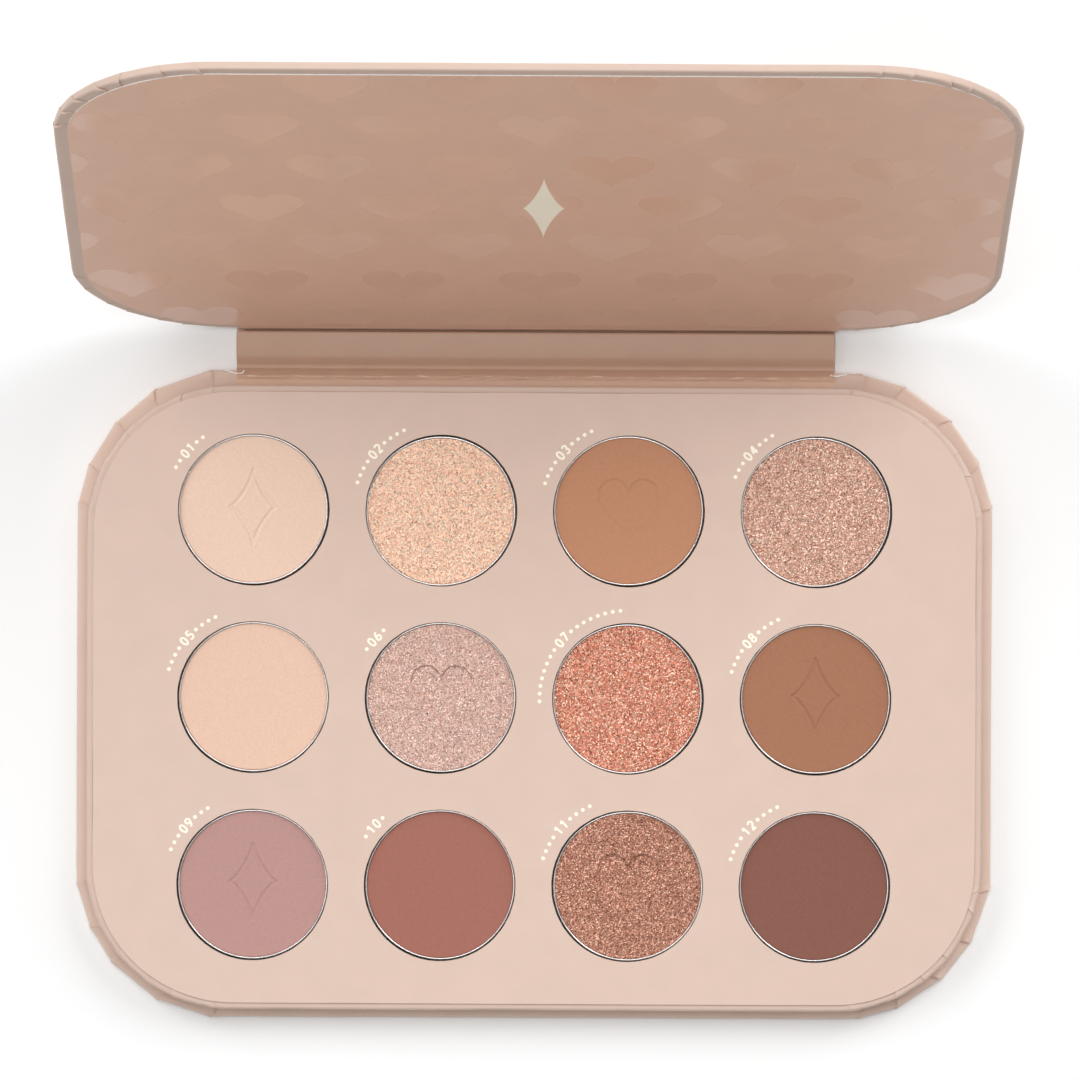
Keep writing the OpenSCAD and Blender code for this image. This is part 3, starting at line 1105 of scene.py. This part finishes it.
def tray_card(name):
    """The printed card on top of the tray, with its twelve holes and slightly rounded cut edges."""
    bevel = 0.05 * MM
    edges = [
        wobbled(smooth_outline(CARD_W, CARD_D, CARD_CORNER_R, inset), 2, 0.1 * MM) for inset in (0.0, bevel)
    ]
    loops = [[[(x, y + TRAY_Y) for x, y in edge] for edge in edges]]
    loops += [[circle(cx, cy, radius, 96) for radius in (HOLE_R, HOLE_R + bevel)] for cx, cy in HOLES]
    vertices = []
    faces = []
    indices = []
    top_points = []
    top_edges = []
    top_ids = []
    bottom_ids = []
    for edge_loop, face_loop in loops:
        count = len(edge_loop)
        first = len(vertices)
        for ring, z in ((edge_loop, SHEET_LOW), (edge_loop, TRAY_TOP - bevel), (face_loop, TRAY_TOP)):
            vertices += [(x, y, z) for x, y in ring]
        faces += loop_faces(first, first + count, count)
        faces += loop_faces(first + count, first + 2 * count, count)
        indices += [1] * count + [0] * count
        start = len(top_points)
        top_points += [Vector((x / MM, y / MM)) for x, y in face_loop]
        top_edges += [(start + k, start + (k + 1) % count) for k in range(count)]
        top_ids += list(range(first + 2 * count, first + 3 * count))
        bottom_ids += list(range(first, first + count))
    flat = geometry.delaunay_2d_cdt(top_points, top_edges, [], 0, 1e-6)
    for triangle in flat[2]:
        ids = [flat[3][i][0] for i in triangle]
        cx = sum(top_points[i].x for i in ids) / 3 * MM
        cy = sum(top_points[i].y for i in ids) / 3 * MM
        if any(math.hypot(cx - hx, cy - hy) < HOLE_R for hx, hy in HOLES):
            continue
        faces.append(tuple(top_ids[i] for i in ids))
        faces.append(tuple(bottom_ids[i] for i in reversed(ids)))
        indices += [0, 1]
    return make_piece(name, (vertices, faces, indices), [MAT_CARD, MAT_CUT_EDGE], sharp=30)


card = tray_card("tray_top_card")
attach(card, "base")
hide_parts("tray_top_sheet")

# ---- Printed shade numbers ----


# Strokes of each digit in a box 0.6 wide and 1 high
DIGITS = {
    "0": [arc(0.3, 0.5, 0.22, 0.43, 0, 360, 20)],
    "1": [[(0.12, 0.74), (0.36, 0.95)], [(0.34, 0.95), (0.34, 0.07)]],
    "2": [arc(0.3, 0.69, 0.21, 0.24, 160, -40) + [(0.1, 0.09)], [(0.05, 0.07), (0.52, 0.07)]],
    "3": [arc(0.28, 0.71, 0.2, 0.22, 150, -90), arc(0.28, 0.28, 0.22, 0.22, 90, -150)],
    "4": [[(0.42, 0.07), (0.42, 0.95)], [(0.4, 0.93), (0.08, 0.34)], [(0.04, 0.32), (0.57, 0.32)]],
    "5": [[(0.48, 0.93), (0.12, 0.93)], [(0.15, 0.93), (0.12, 0.53)], arc(0.28, 0.33, 0.23, 0.26, 135, -145)],
    "6": [arc(0.3, 0.3, 0.22, 0.23, 0, 360, 18), [(0.09, 0.36), (0.2, 0.74), (0.42, 0.93)]],
    "7": [[(0.08, 0.93), (0.54, 0.93)], [(0.5, 0.93), (0.22, 0.07)]],
    "8": [arc(0.3, 0.73, 0.18, 0.2, 0, 360, 16), arc(0.3, 0.29, 0.22, 0.22, 0, 360, 18)],
    "9": [arc(0.3, 0.7, 0.22, 0.23, 0, 360, 18), [(0.51, 0.64), (0.4, 0.26), (0.18, 0.07)]],
}


def on_arc(centre, middle_angle, dx, dy):
    """A point dx along and dy above an arc of lettering that reads clockwise."""
    angle = math.radians(middle_angle) - dx / NUMERAL_R
    radius = NUMERAL_R + dy
    return centre[0] + radius * math.cos(angle), centre[1] + radius * math.sin(angle)


def shade_number(index, arc_span):
    """Ink parts for one shade's number and the row of dots on either side of it."""
    parts = []
    centre = HOLES[index]
    z0 = TRAY_TOP - 0.02 * MM
    z1 = TRAY_TOP + INK_T
    text = f"{index + 1:02d}"
    advance = 0.82 * NUMERAL_H
    for place, digit in enumerate(text):
        offset = (place - len(text) / 2) * advance + 0.11 * NUMERAL_H
        for level, stroke in enumerate(DIGITS[digit]):
            points = [
                on_arc(centre, NUMERAL_ANGLE, offset + x * NUMERAL_H * 1.05, (y - 0.5) * NUMERAL_H)
                for x, y in stroke
            ]
            parts.append(ribbon(points, NUMERAL_STROKE / 2, z0, z1 + level * 0.004 * MM))
    reach = math.radians(arc_span) * NUMERAL_R
    distance = advance + DOT_GAP
    while distance < reach:
        for sign in (-1, 1):
            x, y = on_arc(centre, NUMERAL_ANGLE, sign * distance, 0.0)
            parts.append(prism(circle(x, y, DOT_R, 14), z0, z1))
        distance += DOT_SPACING
    return parts


ink_parts = []
for index, shade in enumerate(SHADES):
    ink_parts += shade_number(index, shade["arc"])
numbers = make_piece("shade_numbers_print", joined(ink_parts), [MAT_INK])
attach(numbers, "base")

# ---- Pans and powders ----


def pan_shell(name, low, high, seed):
    """A drawn metal pan: thin wall, rolled rim, rounded bottom edge."""
    cx = (low.x + high.x) / 2
    cy = (low.y + high.y) / 2
    radius = (high.x - low.x) / 2
    wall = 0.28 * MM
    rim = wall / 2
    bend = 0.4 * MM
    fillet = 0.3 * MM
    profile = [(radius - 0.9 * MM, low.z)]
    profile += arc(radius - bend, low.z + bend, bend, bend, -90, 0, 4)
    profile.append((radius, high.z - 1.0 * MM))
    profile += arc(radius - rim, high.z - rim, rim, rim, 0, 180, 8)
    profile += [(radius - wall, low.z + wall + fillet), (radius - wall - fillet, low.z + wall)]
    steps = 128
    turn = circle(0, 0, 1, steps)
    drifts = [waver(c * 1.3, s * 1.3, seed) * 0.05 * MM for c, s in turn]
    vertices = []
    faces = []
    for k, (r, z) in enumerate(profile):
        vertices += [(cx + (r + d) * c, cy + (r + d) * s, z) for (c, s), d in zip(turn, drifts)]
        if k:
            faces += loop_faces((k - 1) * steps, k * steps, steps)
    # a fan to the middle of the underside and of the inside
    end = len(vertices)
    vertices += [(cx, cy, low.z), (cx, cy, low.z + wall)]
    for middle, first in ((end, 0), (end + 1, end - steps)):
        faces += [(middle, first + k, first + (k + 1) % steps) for k in range(steps)]
    return make_piece(name, (vertices, faces), [MAT_PAN], sharp=50)


def signed_distance(points, outline):
    """Distance of each point to a closed outline, negative inside."""
    polygon = np.array(outline)
    following = np.roll(polygon, -1, axis=0)
    best = np.full(len(points), 1e9)
    inside = np.zeros(len(points), bool)
    for (ax, ay), (bx, by) in zip(polygon, following):
        ex, ey = bx - ax, by - ay
        wx, wy = points[:, 0] - ax, points[:, 1] - ay
        t = np.clip((wx * ex + wy * ey) / (ex * ex + ey * ey + 1e-18), 0, 1)
        best = np.minimum(best, np.hypot(wx - ex * t, wy - ey * t))
        crosses = (ay > points[:, 1]) != (by > points[:, 1])
        at_x = ax + (points[:, 1] - ay) / np.where(by == ay, 1e-12, by - ay) * ex
        inside ^= crosses & (points[:, 0] < at_x)
    return np.where(inside, -best, best)


def pressed_powder(name, low, high, mark, seed, material, press_depth):
    """A cake of pressed powder: rounded rim, slightly uneven face and a pressed-in mark."""
    cx = (low.x + high.x) / 2
    cy = (low.y + high.y) / 2
    radius = (high.x - low.x) / 2
    steps, rings = (352, 92) if mark else (160, 40)
    flat_r = radius - POWDER_EDGE
    edge_radii = radius - POWDER_EDGE * (1 - np.sin(np.linspace(0.2, 1, 6) * math.pi / 2))
    radii = np.concatenate([np.linspace(0, 1, rings + 1)[1:] * flat_r, edge_radii])
    angles = np.arange(steps) * 2 * math.pi / steps
    r, a = np.meshgrid(radii, angles, indexing="ij")
    x = (r * np.cos(a)).ravel()
    y = (r * np.sin(a)).ravel()
    r = r.ravel()
    roll = np.clip((r - flat_r) / POWDER_EDGE, 0, 1)
    z = high.z - POWDER_EDGE_DROP * (1 - np.sqrt(np.clip(1 - roll ** 2, 0, 1)))
    for frequency, height in ((220, 0.012 * MM), (900, 0.006 * MM)):
        waves = [waver(px * frequency, py * frequency, seed) for px, py in zip(x, y)]
        z = z + np.array(waves) * height
    if mark:
        outline = heart_outline(*PRESSED_HEART) if mark == "heart" else star_outline(*PRESSED_STAR)
        distance = signed_distance(np.stack([x, y - PRESSED_UP], axis=1), outline)
        if mark == "star":
            distance = np.abs(distance) - GROOVE_HALF
        t = np.clip(0.5 - distance / PRESS_EDGE, 0, 1)
        z = z - press_depth * t * t * (3 - 2 * t)
        z = z + PRESS_RIDGE * np.exp(-((distance - PRESS_EDGE) / (0.5 * PRESS_EDGE)) ** 2)
    vertices = [(cx, cy, high.z - (press_depth if mark == "heart" else 0.0))]
    vertices += list(zip(x + cx, y + cy, z))
    faces = [(0, 1 + k, 1 + (k + 1) % steps) for k in range(steps)]
    count = len(radii)
    for ring in range(count - 1):
        faces += loop_faces(1 + ring * steps, 1 + (ring + 1) * steps, steps)
    base = len(vertices)
    rim = radii[-1]
    vertices += [(cx + rim * math.cos(t), cy + rim * math.sin(t), low.z) for t in angles]
    faces += loop_faces(1 + (count - 1) * steps, base, steps)
    faces.append(tuple(range(base, base + steps)))
    return make_piece(name, (vertices, faces), [material], sharp=60)


for index, shade in enumerate(SHADES):
    number = f"{index + 1:02d}"
    shell = pan_shell(f"pan_shell_{number}", *PAN_BOXES[index], seed=index * 3.7)
    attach(shell, "base")
    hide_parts(f"pan_{number}")
    rgb = linear(shade["rgb"])
    if "dark" in shade:
        material = shimmer_powder(
            f"shimmer_powder_{number}", linear(shade["dark"]), rgb, linear(shade["light"]),
            shade.get("grain", 1.0),
        )
        press_depth = SHIMMER_PRESS_DEPTH
    else:
        material = matte_powder(f"matte_powder_{number}", rgb)
        press_depth = PRESS_DEPTH
    cake = pressed_powder(
        f"pressed_powder_{number}", *POWDER_BOXES[index], shade.get("mark"), index * 5.3, material,
        press_depth,
    )
    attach(cake, "base")
    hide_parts(f"powder_{number}")

# ---- Materials of the CAD parts that stay ----

KEPT = {
    "bottom_board": MAT_GREYBOARD,
    "spine_board": MAT_GREYBOARD,
    "lid_board": MAT_GREYBOARD,
    "tray_block": MAT_TRAY_CARD,
    "tray_magnets": MAT_NICKEL,
    "lid_magnets": MAT_NICKEL,
    "pan_adhesive_discs": MAT_ADHESIVE,
}
for name, material in KEPT.items():
    mesh = frame["nodes"][name].data
    mesh.materials.clear()
    mesh.materials.append(material)

# ---- Floor, light and camera ----

FLOOR_RGB = (0.89, 0.89, 0.89)
FLOOR_HALF = 3.0
FLOOR_T = 20 * MM
FLOOR_GAP = 0.01 * MM

floor_shader = Shader("studio_floor", FLOOR_RGB, 0.7, specular=0.2)
floor_shader.mottle(FLOOR_RGB, 200 * MM, 0.004)
floor_outline = [(sx * FLOOR_HALF, sy * FLOOR_HALF) for sx, sy in ((-1, -1), (1, -1), (1, 1), (-1, 1))]
floor = make_piece("studio_floor", prism(floor_outline, -FLOOR_T, -FLOOR_GAP), [floor_shader.material])

WORLD_STRENGTH = 0.2
# Soft boxes all round, strongest behind: name, azimuth, elevation and power
SOFT_BOXES = [
    ("key_rear", 180, 70, 7.9),
    ("rear_right", 135, 38, 9.6),
    ("rear_left", 225, 38, 7.0),
    ("side_left", 270, 38, 4.6),
    ("top_front", 0, 76, 2.2),
    ("fill_front", 0, 38, 2.3),
    ("fill_front_left", 315, 60, 1.1),
    ("low_rear_right", 135, 15, 3.7),
    ("low_left", 270, 15, 1.5),
    ("low_right", 90, 15, 2.6),
]
BOX_DISTANCE = 1.6
BOX_SIZE = 0.8

# The photographer's place, almost straight above the palette
CAMERA_LENS_MM = 266.9
CAMERA_PLACE = (-0.005, 0.0461, 1.3978)
CAMERA_TURN_DEG = (-0.782, -0.237, 0.289)

world = bpy.data.worlds.new("soft_studio")
bpy.context.scene.world = world
world.use_nodes = True
background = next(n for n in world.node_tree.nodes if n.type == "BACKGROUND")
background.inputs["Color"].default_value = (1.0, 1.0, 1.0, 1)
background.inputs["Strength"].default_value = WORLD_STRENGTH


def soft_box(name, azimuth, elevation, power):
    """A square soft light aimed at the object. Azimuth 0 is in front, 90 on the right and 180 behind."""
    a = math.radians(azimuth)
    e = math.radians(elevation)
    place = Vector((math.sin(a) * math.cos(e), -math.cos(a) * math.cos(e), math.sin(e))) * BOX_DISTANCE
    data = bpy.data.lights.new(name, "AREA")
    data.shape = "SQUARE"
    data.size = BOX_SIZE
    data.energy = power
    light = bpy.data.objects.new(name, data)
    light.location = place
    light.rotation_mode = "QUATERNION"
    light.rotation_quaternion = place.to_track_quat("Z", "Y")
    bpy.context.scene.collection.objects.link(light)


for box in SOFT_BOXES:
    soft_box(*box)

camera_data = bpy.data.cameras.new("camera")
camera_data.sensor_width = 36
camera_data.lens = CAMERA_LENS_MM
camera_data.clip_start = 0.05
camera_data.clip_end = 20
camera = bpy.data.objects.new("camera", camera_data)
camera.location = CAMERA_PLACE
camera.rotation_euler = [math.radians(a) for a in CAMERA_TURN_DEG]
bpy.context.scene.collection.objects.link(camera)
bpy.context.scene.camera = camera
bpy.context.scene.view_settings.view_transform = "Standard"
